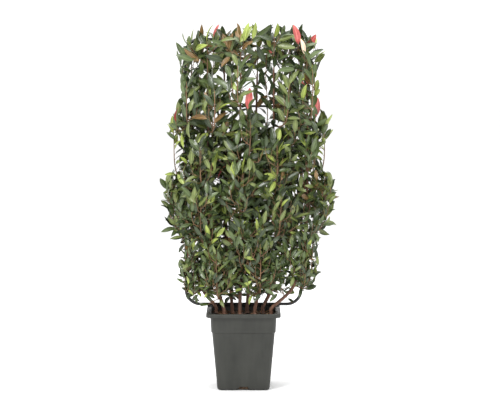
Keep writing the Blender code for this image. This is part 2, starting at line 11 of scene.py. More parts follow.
import bmesh
import bpy
import numpy as np
from mathutils import Matrix, Quaternion, Vector, noise
from mathutils.bvhtree import BVHTree


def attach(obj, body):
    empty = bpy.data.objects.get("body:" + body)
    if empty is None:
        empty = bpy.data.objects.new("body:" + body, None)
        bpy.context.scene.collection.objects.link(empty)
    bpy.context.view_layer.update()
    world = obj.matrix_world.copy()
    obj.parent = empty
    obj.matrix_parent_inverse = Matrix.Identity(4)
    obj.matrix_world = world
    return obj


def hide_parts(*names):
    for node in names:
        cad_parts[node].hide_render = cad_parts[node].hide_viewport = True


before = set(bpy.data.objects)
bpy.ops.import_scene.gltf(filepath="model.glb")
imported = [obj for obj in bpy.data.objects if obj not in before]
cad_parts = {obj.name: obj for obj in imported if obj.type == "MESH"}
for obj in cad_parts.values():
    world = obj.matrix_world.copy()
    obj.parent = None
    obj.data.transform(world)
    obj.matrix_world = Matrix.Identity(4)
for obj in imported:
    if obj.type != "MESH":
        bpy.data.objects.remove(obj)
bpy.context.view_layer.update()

SEED = 7
UP = Vector((0, 0, 1))
ALONG_X = Vector((1, 0, 0))
ALONG_Y = Vector((0, 1, 0))
SIDES = (("left", -1), ("right", 1))
GAP = 0.0003
GOLDEN_ANGLE = math.radians(137.508)

# The camera, as it stood for the photograph
IMAGE_SIZE = (500, 400)
SENSOR_WIDTH = 36.0
FOCAL_PIXELS = 1780
CAMERA_PLACE = Vector((0.022, -6.0, 1.137))
CAMERA_PITCH = math.radians(4.781)

# The stage: a floor, an even white sky, and lamps with their place, size and power
FLOOR_SIZE = 60
FLOOR_DROP = 0.0005
WORLD_STRENGTH = 1.2
FLOOR_GREY = (0.86, 0.86, 0.86)
LAMP_AIM = 0.65
LAMPS = (
    ("key", (-2.2, -3.4, 3.4), 1.3, 150),
    ("fill", (3.0, -3.0, 1.8), 2.0, 40),
    ("top", (0.0, 0.4, 3.6), 2.0, 60),
    ("back", (0.6, 3.2, 2.4), 2.4, 40),
)
WHITE = (1, 1, 1)
BLACK = (0, 0, 0)

# The pot
RIM_HALF = 0.125
RIM_HEIGHT = 0.262
LIP_DEPTH = 0.012
LIP_THICKNESS = 0.0022
COLLAR_TOP_HALF = 0.1115
COLLAR_FOOT_HALF = 0.1085
STEP_HEIGHT = 0.195
STEP_IN = 0.003
FOOT_HALF = 0.0885
FOOT_ROUND = 0.007
POT_WALL = 0.0025
POT_FLOOR = 0.004
RIM_CORNER = 0.024
FOOT_CORNER = 0.016
POT_CORNER_STEPS = 10
FOOT_STEPS = 5
POT_EDGE = 0.0007
SHARP_EDGE = 38
NOTCH_WIDTH = 0.040
NOTCH_HEIGHT = 0.012
NOTCH_DEPTH = 0.022
NOTCH_SHOULDER = 0.005
SHOULDER_PARTS = 6

# The potting mix: how rough its top is, and the bark chips that lie on it
SOIL_HEIGHT = 0.244
SOIL_GRID = 56
SOIL_ROUGHNESS = 0.0035
SOIL_SUNK = 0.0021
SOIL_GRAIN = 60
SOIL_GRAIN_SLICE = 3.7
SOIL_GRAIN_SHARE = 0.45
SOIL_SWELL = 14
SOIL_SWELL_SLICE = 1.2
SOIL_SWELL_SHARE = 0.5
CHIP_COUNT = 420
CHIP_LENGTH = (0.005, 0.017)
CHIP_WIDTH_SHARE = (0.25, 0.6)
CHIP_THICK_SHARE = (0.10, 0.24)
CHIP_TILT = 0.3
CHIP_RAISED_SHARE = 0.25
CHIP_SQUEEZE = 0.45
CHIP_EDGE = 0.0004
CHIP_TO_WALL = 0.6
CHIP_KINDS = (
    ("pale", (0.30, 0.175, 0.085)),
    ("tan", (0.19, 0.095, 0.045)),
    ("dark", (0.075, 0.042, 0.024)),
)

# The frame
FRAME_HALF = 0.1983
FRAME_Y = 0.090
FRAME_TOP = 1.177
FRAME_BEND = 0.050
TUBE_RADIUS = 0.0055
FRAME_FOOT = RIM_HEIGHT + GAP + TUBE_RADIUS
RUNG_RADIUS = 0.004
RUNG_COUNT = 3
LEG_X = 0.072
LEG_FOOT = 0.150
FRAME_BEND_STEPS = 14
TUBE_SIDES = 20
WELD_RADIUS = 0.0052
WELD_SUNK_SHARE = 0.7
WELD_STEP = 0.0015
WELD_SHOULDER = 0.93
TIE_PLACES = ((-0.162, 0.0), (-0.1983, -0.050), (0.162, 0.0), (0.1983, -0.050))
TIE_BANDS = (-0.0016, 0.0016)
TIE_STEPS = 24
TIE_SIDES = 6
TIE_HEAD_SIDES = 8
TIE_STAND_OFF = 0.0009
TIE_RADIUS = 0.0011
TIE_HEAD_RADIUS = 0.0028
TIE_HEAD_HALF = 0.003
TIE_HEAD_OUT = 0.002
TIE_TAIL = (0.012, 0.004)
TIE_TAIL_RADII = (0.0013, 0.0009)

# The crown's outline
CROWN_X = 0.0186
CROWN_Y = 0.058
CROWN_FOOT = 0.272
CROWN_TOP = 1.234
CROWN_HALF = 0.242
CROWN_FOOT_HALF = 0.185
CROWN_TOP_HALF = 0.120
CROWN_DEPTH_HALF = 0.140
CROWN_TOP_DEPTH_HALF = 0.095
CROWN_WAIST = 0.700
FOOT_SPREAD = 0.090
TOP_SPREAD = 0.062
CROWN_SQUARENESS = 4.5
SIDE_TIERS = (
    (0.400, 0.256, 0.060),
    (0.545, 0.338, 0.050),
    (0.665, 0.305, 0.100),
    (0.895, 0.288, 0.080),
    (1.160, 0.286, 0.045),
)

# The stems
STEM_FOOT_X = (0.012, 0.038, 0.066, 0.094)
STEM_TOP_X = (0.028, 0.084, 0.140, 0.196)
STEM_QUICKNESS = (1.8, 3.0, 5.0, 10.0)
STEM_RADIUS = (0.0064, 0.0058, 0.0062, 0.0058)
STEM_TIP_RADIUS = 0.0029
STEM_FLARE = 1.35
STEM_FLARE_HEIGHT = 0.008
STEM_EASE = 1.04
STEM_STEPS = 5
STEM_CROWDING = 1.5
STEM_WAVE = 0.003
STEM_WAVE_TURN = 6
STEM_END = (1.060, 1.075, 1.050, 1.030)
STEM_LEAN_QUICKNESS = 3.0
ROW_FOOT_Y = (0.040, -0.006)
ROW_TOP_Y = (0.0725, 0.0420)
STEM_SIDES = 12
STEM_RING_STEP = 0.004
BARK_RELIEF = 0.10
BARK_RELIEF_SIZE = 70
BARK_STRETCH = Vector((3, 3, 0.5))
KNOT_HEIGHT = 0.12
KNOT_TURN = 190
KNOT_SHARPNESS = 12

# The masses' stems
TIP_LENGTH = 0.112
TIP_LEAN = (0.42, 0.25)
TIP_BARE = 0.012
TIP_STRAIGHT = 0.014
TIER_FOOT = 0.300
TIER_RISE = 0.188
# Masses on the stems' sides: the stem, the way in degrees in each of four tiers, the rise in a tier
PLACES = (
    ("stem_left_4", (212, 192, 195, 258), 0.030),
    ("stem_right_4", (-25, 12, 20, -75), 0.045),
    ("stem_left_3", (262, 238, 258, 285), 0.0),
    ("stem_left_1", (290, 270, 288, 268), 0.085),
    ("stem_right_2", (275, 300, 282, 300), 0.020),
    ("stem_left_2", (118, 140, 120, 145), 0.030),
    ("stem_right_3", (112, 90, 118, 95), 0.030),
)
SIDE_LENGTH = 0.205
SIDE_BARE = 0.020
TWIG_RADIUS = 0.0027
TWIG_TIP_RADIUS = 0.0011
TWIG_STEP = 0.042
TWIG_LIFT = 0.38
TWIG_INSET = 0.78
TWIG_TURN_BACK = 0.45
TWIG_WOBBLE = 0.12
TWIG_TEST_FROM = 0.30
AXIS_TRIES = 30
AXIS_SIDES = 3
CLEARANCE = 0.0012
CLEARANCE_SIDES = 6
FIRST_ACROSS = Vector((0.31, 0.87, 0.38))

# Finer twigs, which only the looks have: how many grow on a mass's stem or on a shoot, and how long
SIDE_TWIGS = (14, 12, 6, 3)
TIP_SIDE_TWIGS = 3
SIDE_TWIG_LENGTH = 0.105
SIDE_TWIG_LENGTH_RANGE = (0.8, 1.1)
SIDE_TWIG_RADIUS = 0.0014
FINE_TWIGS = 2
FINE_TWIG_LENGTH = 0.045
FINE_TWIG_RADIUS = 0.0010
FINE_TIP_RADIUS = 0.0006
SIDE_TWIG_SPREAD = math.radians(52)
SIDE_TWIG_ZONE = 0.85
SIDE_TWIG_SHORTENING = 0.5
TWIG_TRIES = 12
TWIG_SIDES = 5
TWIG_RING_STEP = 0.012
TWIG_ROOM = 0.94

# Upright shoots between the stems: the stem each leaves, where it ends across, its foot and its top
SHOOTS = (
    ("stem_left_4", -0.147, 0.56, 1.150),
    ("stem_left_3", -0.104, 0.62, 1.175),
    ("stem_left_2", -0.038, 0.58, 1.165),
    ("stem_left_4", -0.205, 0.50, 1.090),
    ("stem_right_2", 0.078, 0.60, 1.170),
    ("stem_right_3", 0.132, 0.55, 1.150),
    ("stem_right_4", 0.188, 0.62, 1.160),
    ("stem_right_4", 0.240, 0.52, 1.080),
)
SHOOT_RADIUS = 0.0024
SHOOT_STEPS = 9
SHOOT_QUICKNESS = 4.0
SHOOT_TWIGS = 3
SHOOT_TWIG_LENGTH = 0.07
SHOOT_BARE = 0.10
SHOOT_TO_MIDDLE = 0.7
SHOOT_WAVER = (0.003, 0.002)

# Short sprays on the stems' lower half, where the crown is densest
SPRAY_FOOT = 0.300
SPRAY_TOP = 0.80
SPRAY_STEP = 0.052
SPRAY_LENGTH = 0.125
SPRAY_LENGTH_RANGE = (0.8, 1.2)
SPRAY_SPREAD = 1.3
SPRAY_BARE = 0.012
SPRAY_RADIUS = 0.0018
SPRAY_TWIGS = 4
SPRAY_TWIG_LENGTH = 0.07
STEM_LEAF_FOOT = 0.46
STEM_LEAF_STEP = 0.024
STEM_LEAF_BARE = 0.01
STEM_PATH_STEP = 0.02

# Leaves
LOW_LEAF_LENGTH = 0.038
TOP_LEAF_LENGTH = 0.066
LEAF_LENGTH_RISE = 1.3
LEAF_LENGTH_RANGE = (0.72, 1.12)
LEAF_WIDTH_SHARE = 0.32
LEAF_LEAN = 0.86
LEAF_FULLNESS = 0.78
LEAF_SPACING = (0.0120, 0.0195)
LEAF_FACING = 0.6
LEAF_SPREAD_LOW = math.radians(64)
LEAF_SPREAD_TIP = math.radians(24)
LEAF_SPREAD_RANGE = (0.8, 1.15)
LEAF_JITTER = 0.42
LEAF_TRIES = 5
LEAF_FOLD = 0.16
LEAF_DROOP = (0.02, 0.34)
LEAF_CURL = 0.35
LEAF_RIPPLE = 0.018
RIPPLE_TURN = 9
RIPPLE_START = 6
LEAF_STATIONS = 8
LEAF_THICKNESS = 0.00035
PETIOLE_SHARE = 0.13
PETIOLE_RADII = (0.00075, 0.0006)
PETIOLE_SIDES = 4
OWN_KIND_SHARE = 0.8
MIDRIB_EDGE = (0.025, 0.075)
VEIN_SLANT = 0.55
VEIN_SPACING = 0.045
VEIN_WIDTH = 0.012
VEIN_STRENGTH = 0.35
UPPER_VEIN_LIFT = 1.9
UNDER_VEIN_LIFT = 1.25
UNDER_ROUGHER = 0.2
TUBE_CLEAR = 0.0035

# Leaf kinds: slot, colours of the upper and the lower side, and the roughness
LEAF_KINDS = {
    "dark": ("leaves_mature", (0.025, 0.040, 0.012), (0.105, 0.125, 0.060), 0.27),
    "mature": ("leaves_mature", (0.054, 0.080, 0.021), (0.150, 0.175, 0.085), 0.28),
    "mid": ("leaves_mature", (0.110, 0.138, 0.036), (0.190, 0.215, 0.100), 0.30),
    "fresh": ("leaves_fresh", (0.230, 0.285, 0.055), (0.260, 0.310, 0.110), 0.34),
    "bronze": ("leaves_bronze", (0.165, 0.098, 0.034), (0.200, 0.150, 0.075), 0.29),
    "red": ("leaves_bronze", (0.420, 0.085, 0.075), (0.450, 0.150, 0.120), 0.36),
    # The pale kind is a painted highlight: the sheen of light on glossy young leaves, not a colour of the
    # leaves
    "painted_highlight": ("leaves_bronze", (0.640, 0.470, 0.340), (0.640, 0.520, 0.400), 0.42),
}
# The share of each kind at the foot, in the middle and at the top of the crown
KIND_SHARES = {
    "dark": (0.38, 0.36, 0.24),
    "mature": (0.36, 0.34, 0.28),
    "mid": (0.23, 0.24, 0.22),
    "fresh": (0.03, 0.05, 0.12),
    "bronze": (0.00, 0.025, 0.15),
    "red": (0.00, 0.002, 0.008),
}
# Young leaves that show in the photograph, by kind: their pixels. The pale kind is a painted highlight:
# the sheen of light on glossy young leaves, painted as pale leaves
YOUNG_LEAVES_AND_HIGHLIGHTS = {
    "red": ((217, 30), (295, 32), (255, 98), (177, 112), (321, 112)),
    # Pixels of the painted highlight: pale sheen on young leaves
    "painted_highlight": ((206, 38), (299, 42)),
    "fresh": ((203, 30), (247, 30), (253, 30), (215, 160), (245, 168), (287, 133)),
}
YOUNG_GROWTH = 1.15
YOUNG_LIFT = 1.5
YOUNG_DEPTH_COST = 60


def between(low, high, share):
    """A value between two others, by a share of the way."""
    return low + (high - low) * share


def circle(centre, across, other, radius, count):
    """Points round a circle that lies along two directions."""
    points = []
    for step in range(count):
        angle = math.tau * step / count
        points.append(centre + radius * (math.cos(angle) * across + math.sin(angle) * other))
    return points


def tinted(colour, factor, lift=0.0):
    """A colour made darker or paler."""
    return tuple(min(1, factor * value + lift) for value in colour)


def in_scene(name, data):
    """An object in the scene for a mesh, a light or a camera."""
    made = bpy.data.objects.new(name, data)
    bpy.context.scene.collection.objects.link(made)
    return made


def new_mesh_object(name, corners, faces):
    """An object from corners and faces."""
    mesh = bpy.data.meshes.new(name)
    mesh.from_pydata([tuple(corner) for corner in corners], [], faces)
    return in_scene(name, mesh)


def rework(piece, operation):
    """Changes a piece's mesh by one operation on its corners and faces."""
    bm = bmesh.new()
    bm.from_mesh(piece.data)
    operation(bm)
    bm.to_mesh(piece.data)
    bm.free()


def faces_out(bm):
    """Turns a closed mesh's faces outwards."""
    bmesh.ops.recalc_face_normals(bm, faces=bm.faces)


def weld(bm):
    """Joins a leaf's two sheets where they meet."""
    bmesh.ops.remove_doubles(bm, verts=bm.verts, dist=LEAF_THICKNESS / 8)


def shade_smooth(piece, degrees):
    """Smooth shading, with edges sharper than an angle kept."""
    piece.data.shade_smooth()
    piece.data.set_sharp_from_angle(angle=math.radians(degrees))


def dress(piece, slot, *materials):
    """Gives a piece its materials and lets it ride on the root; its slot is not used."""
    piece.data.materials.clear()
    for material in materials:
        piece.data.materials.append(material)
    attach(piece, "root")


def apply_modifiers(piece):
    """Turns a piece's modifiers into mesh."""
    graph = bpy.context.evaluated_depsgraph_get()
    mesh = bpy.data.meshes.new_from_object(piece.evaluated_get(graph))
    piece.modifiers.clear()
    piece.data = mesh


class Shader:
    """Builds a material's nodes."""

    def __init__(self, name, colour, roughness, specular=0.5):
        self.material = bpy.data.materials.new(name)
        self.material.use_nodes = True
        self.tree = self.material.node_tree
        self.surface = self.tree.nodes["Principled BSDF"]
        self.height = None
        self.colour(colour)
        self.roughness(roughness)
        self.link(specular, self.surface.inputs["Specular IOR Level"])

    def link(self, source, target):
        """Gives an input another node's output, or a plain colour or number."""
        if isinstance(source, bpy.types.NodeSocket):
            self.tree.links.new(source, target)
        else:
            target.default_value = (*source, 1) if target.type == "RGBA" else source

    def add(self, kind, **values):
        """A node with some of its inputs given."""
        made = self.tree.nodes.new(kind)
        for name, value in values.items():
            self.link(value, made.inputs[name.replace("_", " ")])
        return made

    def noise(self, size, detail, stretch=(1, 1, 1)):
        """Noise over the surface. Size is one over the grain in metres."""
        place = self.add("ShaderNodeTexCoord").outputs["Object"]
        scaled = self.add("ShaderNodeMapping", Vector=place, Scale=stretch).outputs["Vector"]
        return self.add("ShaderNodeTexNoise", Vector=scaled, Scale=size, Detail=detail).outputs["Fac"]

    def ramp(self, factor, stops):
        """Colours along a factor."""
        made = self.add("ShaderNodeValToRGB", Fac=factor)
        for element, (place, colour) in zip(made.color_ramp.elements, stops):
            element.position = place
            element.color = (*colour, 1)
        return made.outputs["Color"]

    def spread(self, factor, low, high):
        """A factor mapped to a range."""
        made = self.add("ShaderNodeMapRange", Value=factor, From_Min=0.3, From_Max=0.7)
        self.link(low, made.inputs["To Min"])
        self.link(high, made.inputs["To Max"])
        return made.outputs["Result"]

    def mix(self, factor, first, second, blend="MIX"):
        """Two colours mixed by a factor."""
        made = self.tree.nodes.new("ShaderNodeMix")
        made.data_type = "RGBA"
        made.blend_type = blend
        for source, index in ((factor, 0), (first, 6), (second, 7)):
            self.link(source, made.inputs[index])
        return made.outputs[2]

    def number(self, operation, *sources):
        """A number worked out from others."""
        made = self.tree.nodes.new("ShaderNodeMath")
        made.operation = operation
        for source, target in zip(sources, made.inputs):
            self.link(source, target)
        return made.outputs[0]

    def colour(self, source):
        """Sets the base colour."""
        self.link(source, self.surface.inputs["Base Color"])

    def roughness(self, source):
        """Sets the roughness."""
        self.link(source, self.surface.inputs["Roughness"])

    def bump(self, source, depth, strength=1.0):
        """Adds relief of a depth in metres."""
        made = self.add("ShaderNodeBump", Strength=strength, Distance=depth, Height=source)
        if self.height:
            self.link(self.height, made.inputs["Normal"])
        self.height = made.outputs["Normal"]
        self.link(self.height, self.surface.inputs["Normal"])


def pot_plastic():
    """Recycled dark grey plastic with faint scuffs and dust."""
    shader = Shader("pot_plastic", (0.022, 0.023, 0.020), 0.5, specular=0.35)
    cloud = shader.noise(9, 5)
    fine = shader.noise(900, 2)
    scuff = shader.noise(38, 6, (1, 1, 0.16))
    body = shader.ramp(cloud, ((0.3, (0.014, 0.015, 0.012)), (0.7, (0.026, 0.027, 0.023))))
    shader.colour(shader.mix(shader.spread(scuff, 0.0, 0.3), body, (0.060, 0.060, 0.052)))
    shader.roughness(shader.spread(scuff, 0.38, 0.58))
    shader.bump(fine, 0.00012)
    shader.bump(scuff, 0.0002)
    return shader.material


def soil_material():
    """Dark moist potting mix."""
    shader = Shader("potting_mix", (0.03, 0.02, 0.013), 0.95, specular=0.2)
    grain = shader.noise(160, 8)
    shader.colour(shader.ramp(grain, ((0.35, (0.012, 0.008, 0.005)), (0.7, (0.075, 0.047, 0.028)))))
    shader.bump(grain, 0.0015)
    return shader.material


def chip_material(name, colour):
    """A chip of bark."""
    shader = Shader(name, colour, 0.85, specular=0.25)
    grain = shader.noise(240, 6, (1, 1, 0.3))
    shader.colour(shader.ramp(grain, ((0.35, tinted(colour, 0.45)), (0.65, colour))))
    shader.bump(grain, 0.0006)
    return shader.material


def frame_coating():
    """Black powder coating on steel tube."""
    shader = Shader("frame_coating", (0.012, 0.012, 0.012), 0.42)
    orange_peel = shader.noise(700, 2)
    cloud = shader.noise(14, 4)
    shader.colour(shader.ramp(cloud, ((0.3, (0.009, 0.009, 0.009)), (0.75, (0.020, 0.020, 0.019)))))
    shader.roughness(shader.spread(cloud, 0.34, 0.5))
    shader.bump(orange_peel, 0.00008)
    return shader.material


def bark_material(name, low, high):
    """Young bark with long streaks and small pores."""
    shader = Shader(name, high, 0.6, specular=0.35)
    streak = shader.noise(130, 6, (1, 1, 0.12))
    pores = shader.noise(620, 3)
    body = shader.ramp(streak, ((0.3, low), (0.72, high)))
    spots = shader.ramp(pores, ((0.62, BLACK), (0.72, (0.5, 0.5, 0.5))))
    shader.colour(shader.mix(spots, body, tinted(high, 1.5, 0.03)))
    shader.roughness(shader.spread(streak, 0.45, 0.72))
    shader.bump(streak, 0.0005)
    shader.bump(pores, 0.0002)
    return shader.material


def leaf_material(name, colour, roughness, vein_lift):
    """A leaf's side: a paler midrib, side veins, a slow change of colour and gloss."""
    shader = Shader(name, colour, roughness)
    cloud = shader.noise(26, 3)
    body = shader.ramp(cloud, ((0.32, tinted(colour, 0.72)), (0.68, tinted(colour, 1.32, 0.004))))
    place = shader.add("ShaderNodeSeparateXYZ", Vector=shader.add("ShaderNodeUVMap").outputs["UV"])
    across = shader.number("SUBTRACT", place.outputs["X"], 0.5)
    off_rib = shader.number("ABSOLUTE", across)
    rib = shader.ramp(off_rib, ((MIDRIB_EDGE[0], WHITE), (MIDRIB_EDGE[1], BLACK)))
    slant = shader.number("MULTIPLY_ADD", off_rib, -VEIN_SLANT, place.outputs["Y"])
    wave = shader.number("PINGPONG", slant, VEIN_SPACING)
    veins = shader.ramp(wave, ((0.0, WHITE), (VEIN_WIDTH, BLACK)))
    both = shader.mix(VEIN_STRENGTH, rib, veins, "LIGHTEN")
    shader.colour(shader.mix(both, body, tinted(colour, vein_lift, 0.02)))
    shader.roughness(shader.spread(cloud, roughness - 0.06, roughness + 0.10))
    shader.bump(both, 0.0004, 0.6)
    return shader.material


def rounded_box(half_x, half_y, corner, steps):
    """Places round a box with round corners, from its middle."""
    places = []
    for quarter in range(4):
        middle = math.radians(90 * quarter + 45)
        for step in range(steps + 1):
            angle = math.radians(90) * (quarter + step / steps)
            x = math.copysign(half_x - corner, math.cos(middle)) + corner * math.cos(angle)
            y = math.copysign(half_y - corner, math.sin(middle)) + corner * math.sin(angle)
            places.append((x, y))
    return places


def loft(rings, closed=False):
    """The corners and faces of a body through rings of equal count: closed, or with flat ends."""
    count = len(rings[0])
    corners = [point for ring in rings for point in ring]
    faces = [] if closed else [tuple(range(count))[::-1], tuple(range(len(corners) - count, len(corners)))]
    for row in range(len(rings) - (not closed)):
        low, high = row * count, (row + 1) % len(rings) * count
        for i in range(count):
            j = (i + 1) % count
            faces.append((low + i, low + j, high + j, high + i))
    return corners, faces


def pot_outside():
    """Half widths and heights up the outside of the pot, from its foot to the top of its rim."""
    lip_foot = RIM_HEIGHT - LIP_DEPTH
    flange = RIM_HEIGHT - LIP_THICKNESS
    inner_lip = RIM_HALF - LIP_THICKNESS
    rounded_foot = []
    for step in range(FOOT_STEPS + 1):
        angle = math.radians(90) * step / FOOT_STEPS
        half = FOOT_HALF - FOOT_ROUND * (1 - math.sin(angle))
        rounded_foot.append((half, FOOT_ROUND * (1 - math.cos(angle))))
    return rounded_foot + [
        (COLLAR_FOOT_HALF - STEP_IN, STEP_HEIGHT),
        (COLLAR_FOOT_HALF, STEP_HEIGHT + STEP_IN),
        (COLLAR_TOP_HALF, flange),
        (inner_lip, flange),
        (inner_lip, lip_foot),
        (RIM_HALF, lip_foot),
        (RIM_HALF, flange),
        (inner_lip, RIM_HEIGHT),
    ]


def pot_inside():
    """Half widths and heights up the inside of the pot, from its floor to the top of its rim."""
    return [
        (FOOT_HALF - POT_WALL, POT_FLOOR),
        (COLLAR_FOOT_HALF - STEP_IN - POT_WALL, STEP_HEIGHT),
        (COLLAR_FOOT_HALF - POT_WALL, STEP_HEIGHT + STEP_IN),
        (COLLAR_TOP_HALF - POT_WALL, RIM_HEIGHT),
    ]


def inside_half(height):
    """Half the width inside the pot at a height."""
    wall = pot_inside()
    for (half, low), (next_half, high) in zip(wall, wall[1:]):
        if height <= high:
            return between(half, next_half, (height - low) / (high - low))
    return wall[-1][0]


def wall_rings(profile, inset):
    """Rings round the pot at half widths and heights, with rounder corners the higher they lie."""
    rings = []
    for half, z in profile:
        corner = between(FOOT_CORNER, RIM_CORNER, z / RIM_HEIGHT) - inset
        rings.append([Vector((x, y, z)) for x, y in rounded_box(half, half, corner, POT_CORNER_STEPS)])
    return rings


def notch_cutter(turn):
    """A block with stepped shoulders that cuts one drainage notch."""
    bm = bmesh.new()
    size = Matrix.Diagonal((NOTCH_WIDTH, NOTCH_DEPTH, 2 * NOTCH_HEIGHT, 1))
    bmesh.ops.create_cube(bm, size=1.0, matrix=size)
    shoulders = [e for e in bm.edges if e.verts[0].co.z > 0 and e.verts[1].co.z > 0]
    shoulders = [e for e in shoulders if abs(e.verts[0].co.x - e.verts[1].co.x) < GAP]
    bmesh.ops.bevel(bm, geom=shoulders, offset=NOTCH_SHOULDER, segments=SHOULDER_PARTS, affect="EDGES")
    place = turn @ Matrix.Translation((0, -FOOT_HALF, 0))
    bmesh.ops.transform(bm, matrix=place, verts=bm.verts)
    mesh = bpy.data.meshes.new("notch_cutter")
    bm.to_mesh(mesh)
    bm.free()
    return in_scene("notch_cutter", mesh)


def make_pot():
    """The pot with rounded corners and edges."""
    rings = wall_rings(pot_outside(), 0) + wall_rings(pot_inside(), POT_WALL)[::-1]
    pot = new_mesh_object("nursery_pot", *loft(rings))
    rework(pot, faces_out)
    cutters = [notch_cutter(Matrix.Rotation(math.radians(90 * side), 4, "Z")) for side in range(4)]
    for cutter in cutters:
        notch = pot.modifiers.new("notch", "BOOLEAN")
        notch.operation = "DIFFERENCE"
        notch.solver = "EXACT"
        notch.object = cutter
    edges = pot.modifiers.new("edges", "BEVEL")
    edges.width = POT_EDGE
    edges.segments = 2
    edges.limit_method = "ANGLE"
    edges.angle_limit = math.radians(SHARP_EDGE)
    apply_modifiers(pot)
    for cutter in cutters:
        bpy.data.objects.remove(cutter, do_unlink=True)
    shade_smooth(pot, degrees=35)
    dress(pot, "pot_plastic", pot_plastic())
    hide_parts("pot")


def on_soil(x, y, above=0):
    """A place on top of the potting mix, or a little above it."""
    grain = noise.fractal(Vector((x * SOIL_GRAIN, y * SOIL_GRAIN, SOIL_GRAIN_SLICE)), 1.0, 2.0, 4)
    swell = noise.noise(Vector((x * SOIL_SWELL, y * SOIL_SWELL, SOIL_SWELL_SLICE)))
    rough = SOIL_ROUGHNESS * (SOIL_GRAIN_SHARE * grain + SOIL_SWELL_SHARE * swell)
    return Vector((x, y, SOIL_HEIGHT - SOIL_SUNK + rough + above))


def make_potting_mix():
    """The potting mix: a rough top inside the pot, and a plain body below it."""
    heights = (POT_FLOOR + GAP, STEP_HEIGHT - GAP, STEP_HEIGHT + STEP_IN, SOIL_HEIGHT)
    *rings, rim = wall_rings([(inside_half(z) - 2 * GAP, z) for z in heights], POT_WALL + GAP)
    for step in range(SOIL_GRID + 1):
        share = 1 - step / (SOIL_GRID + 1)
        rings.append([on_soil(point.x * share, point.y * share) for point in rim])
    mix = new_mesh_object("potting_mix_top", *loft(rings))
    shade_smooth(mix, degrees=60)
    dress(mix, "potting_mix", soil_material())
    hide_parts("potting_mix")


def make_chips(rng):
    """Chips of bark on the potting mix: flat splinters that lie at a slant, in three colours."""
    reach = inside_half(SOIL_HEIGHT) - CHIP_LENGTH[1] * CHIP_TO_WALL
    for kind, colour in CHIP_KINDS:
        joined = Joined()
        for _ in range(CHIP_COUNT // len(CHIP_KINDS)):
            length = rng.uniform(*CHIP_LENGTH)
            x, y = rng.uniform(-reach, reach), rng.uniform(-reach, reach)
            width = length * rng.uniform(*CHIP_WIDTH_SHARE)
            size = (length, width, length * rng.uniform(*CHIP_THICK_SHARE))
            turn = Quaternion(UP, rng.uniform(0, math.tau))
            tilt = Quaternion(Vector((1, rng.uniform(-1, 1), 0)).normalized(), rng.gauss(0, CHIP_TILT))
            place = on_soil(x, y, size[2] * CHIP_RAISED_SHARE)
            rings = [[], []]
            for ring, sign_z in zip(rings, (-1, 1)):
                for sign_x, sign_y in ((-1, -1), (1, -1), (1, 1), (-1, 1)):
                    squeeze = rng.uniform(CHIP_SQUEEZE, 1.0)
                    corner = Vector((sign_x * size[0], sign_y * size[1] * squeeze, sign_z * size[2])) / 2
                    ring.append(place + turn @ (tilt @ corner))
            joined.add(*loft(rings))
        chips = new_mesh_object(f"bark_chips_{kind}", joined.corners, joined.faces)
        edge = chips.modifiers.new("edges", "BEVEL")
        edge.width = CHIP_EDGE
        edge.segments = 1
        apply_modifiers(chips)
        dress(chips, "potting_mix", chip_material(f"bark_chip_{kind}", colour))


def rings_round(points, radii, sides, across=FIRST_ACROSS):
    """Rings of a few points across a path, one at each of its points."""
    rings = []
    for i, (point, radius) in enumerate(zip(points, radii)):
        way = (points[min(i + 1, len(points) - 1)] - points[max(i - 1, 0)]).normalized()
        across = (across - across.dot(way) * way).normalized()
        rings.append(circle(point, across, way.cross(across), radius, sides))
    return rings


class Joined:
    """Shapes gathered to be one mesh."""

    def __init__(self):
        self.corners = []
        self.faces = []

    def add(self, corners, faces):
        """Adds a shape."""
        first = len(self.corners)
        self.corners.extend(corners)
        self.faces.extend(tuple(first + i for i in face) for face in faces)

    def add_tube(self, points, radii, sides):
        """Adds a bar or a twig."""
        self.add(*loft(rings_round(points, radii, sides)))

    def make(self, name):
        """The mesh as an object."""
        made = new_mesh_object(name, self.corners, self.faces)
        shade_smooth(made, degrees=50)
        return made


def frame_loop():
    """Points once round the frame's tube, with round corners."""
    middle, half = (FRAME_TOP + FRAME_FOOT) / 2, (FRAME_TOP - FRAME_FOOT) / 2
    places = rounded_box(FRAME_HALF, half, FRAME_BEND, FRAME_BEND_STEPS)
    return [Vector((x, FRAME_Y, middle + z)) for x, z in places]


def rungs():
    """The two ends of each rung, from the lowest up."""
    for number in range(1, RUNG_COUNT + 1):
        z = FRAME_FOOT + (FRAME_TOP - FRAME_FOOT) * number / (RUNG_COUNT + 1)
        yield Vector((-FRAME_HALF, FRAME_Y, z)), Vector((FRAME_HALF, FRAME_Y, z))


def make_frame():
    """The bent tube, its rungs with a weld at each end, its legs, and ties round it."""
    joined = Joined()
    loop = frame_loop()
    rings = rings_round(loop[-1:] + loop + loop[:1], [TUBE_RADIUS] * (len(loop) + 2), TUBE_SIDES, ALONG_Y)
    joined.add(*loft(rings[1:-1], closed=True))
    for ends in rungs():
        joined.add_tube(ends, [RUNG_RADIUS] * 2, TUBE_SIDES)
        for _, side in SIDES:
            start = FRAME_HALF - TUBE_RADIUS * WELD_SUNK_SHARE
            run = [Vector((side * (start - step * WELD_STEP), FRAME_Y, ends[0].z)) for step in range(4)]
            radii = [WELD_RADIUS, WELD_RADIUS, WELD_RADIUS * WELD_SHOULDER, RUNG_RADIUS]
            joined.add_tube(run, radii, TUBE_SIDES)
    for _, side in SIDES:
        leg = [Vector((side * LEG_X, FRAME_Y, z)) for z in (LEG_FOOT, FRAME_FOOT)]
        joined.add_tube(leg, [TUBE_RADIUS] * 2, TUBE_SIDES)
    tube = joined.make("frame_tube")
    rework(tube, faces_out)
    dress(tube, "frame_coating", frame_coating())
    bars = [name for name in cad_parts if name.startswith("frame_")]
    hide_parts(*bars)
    make_ties()


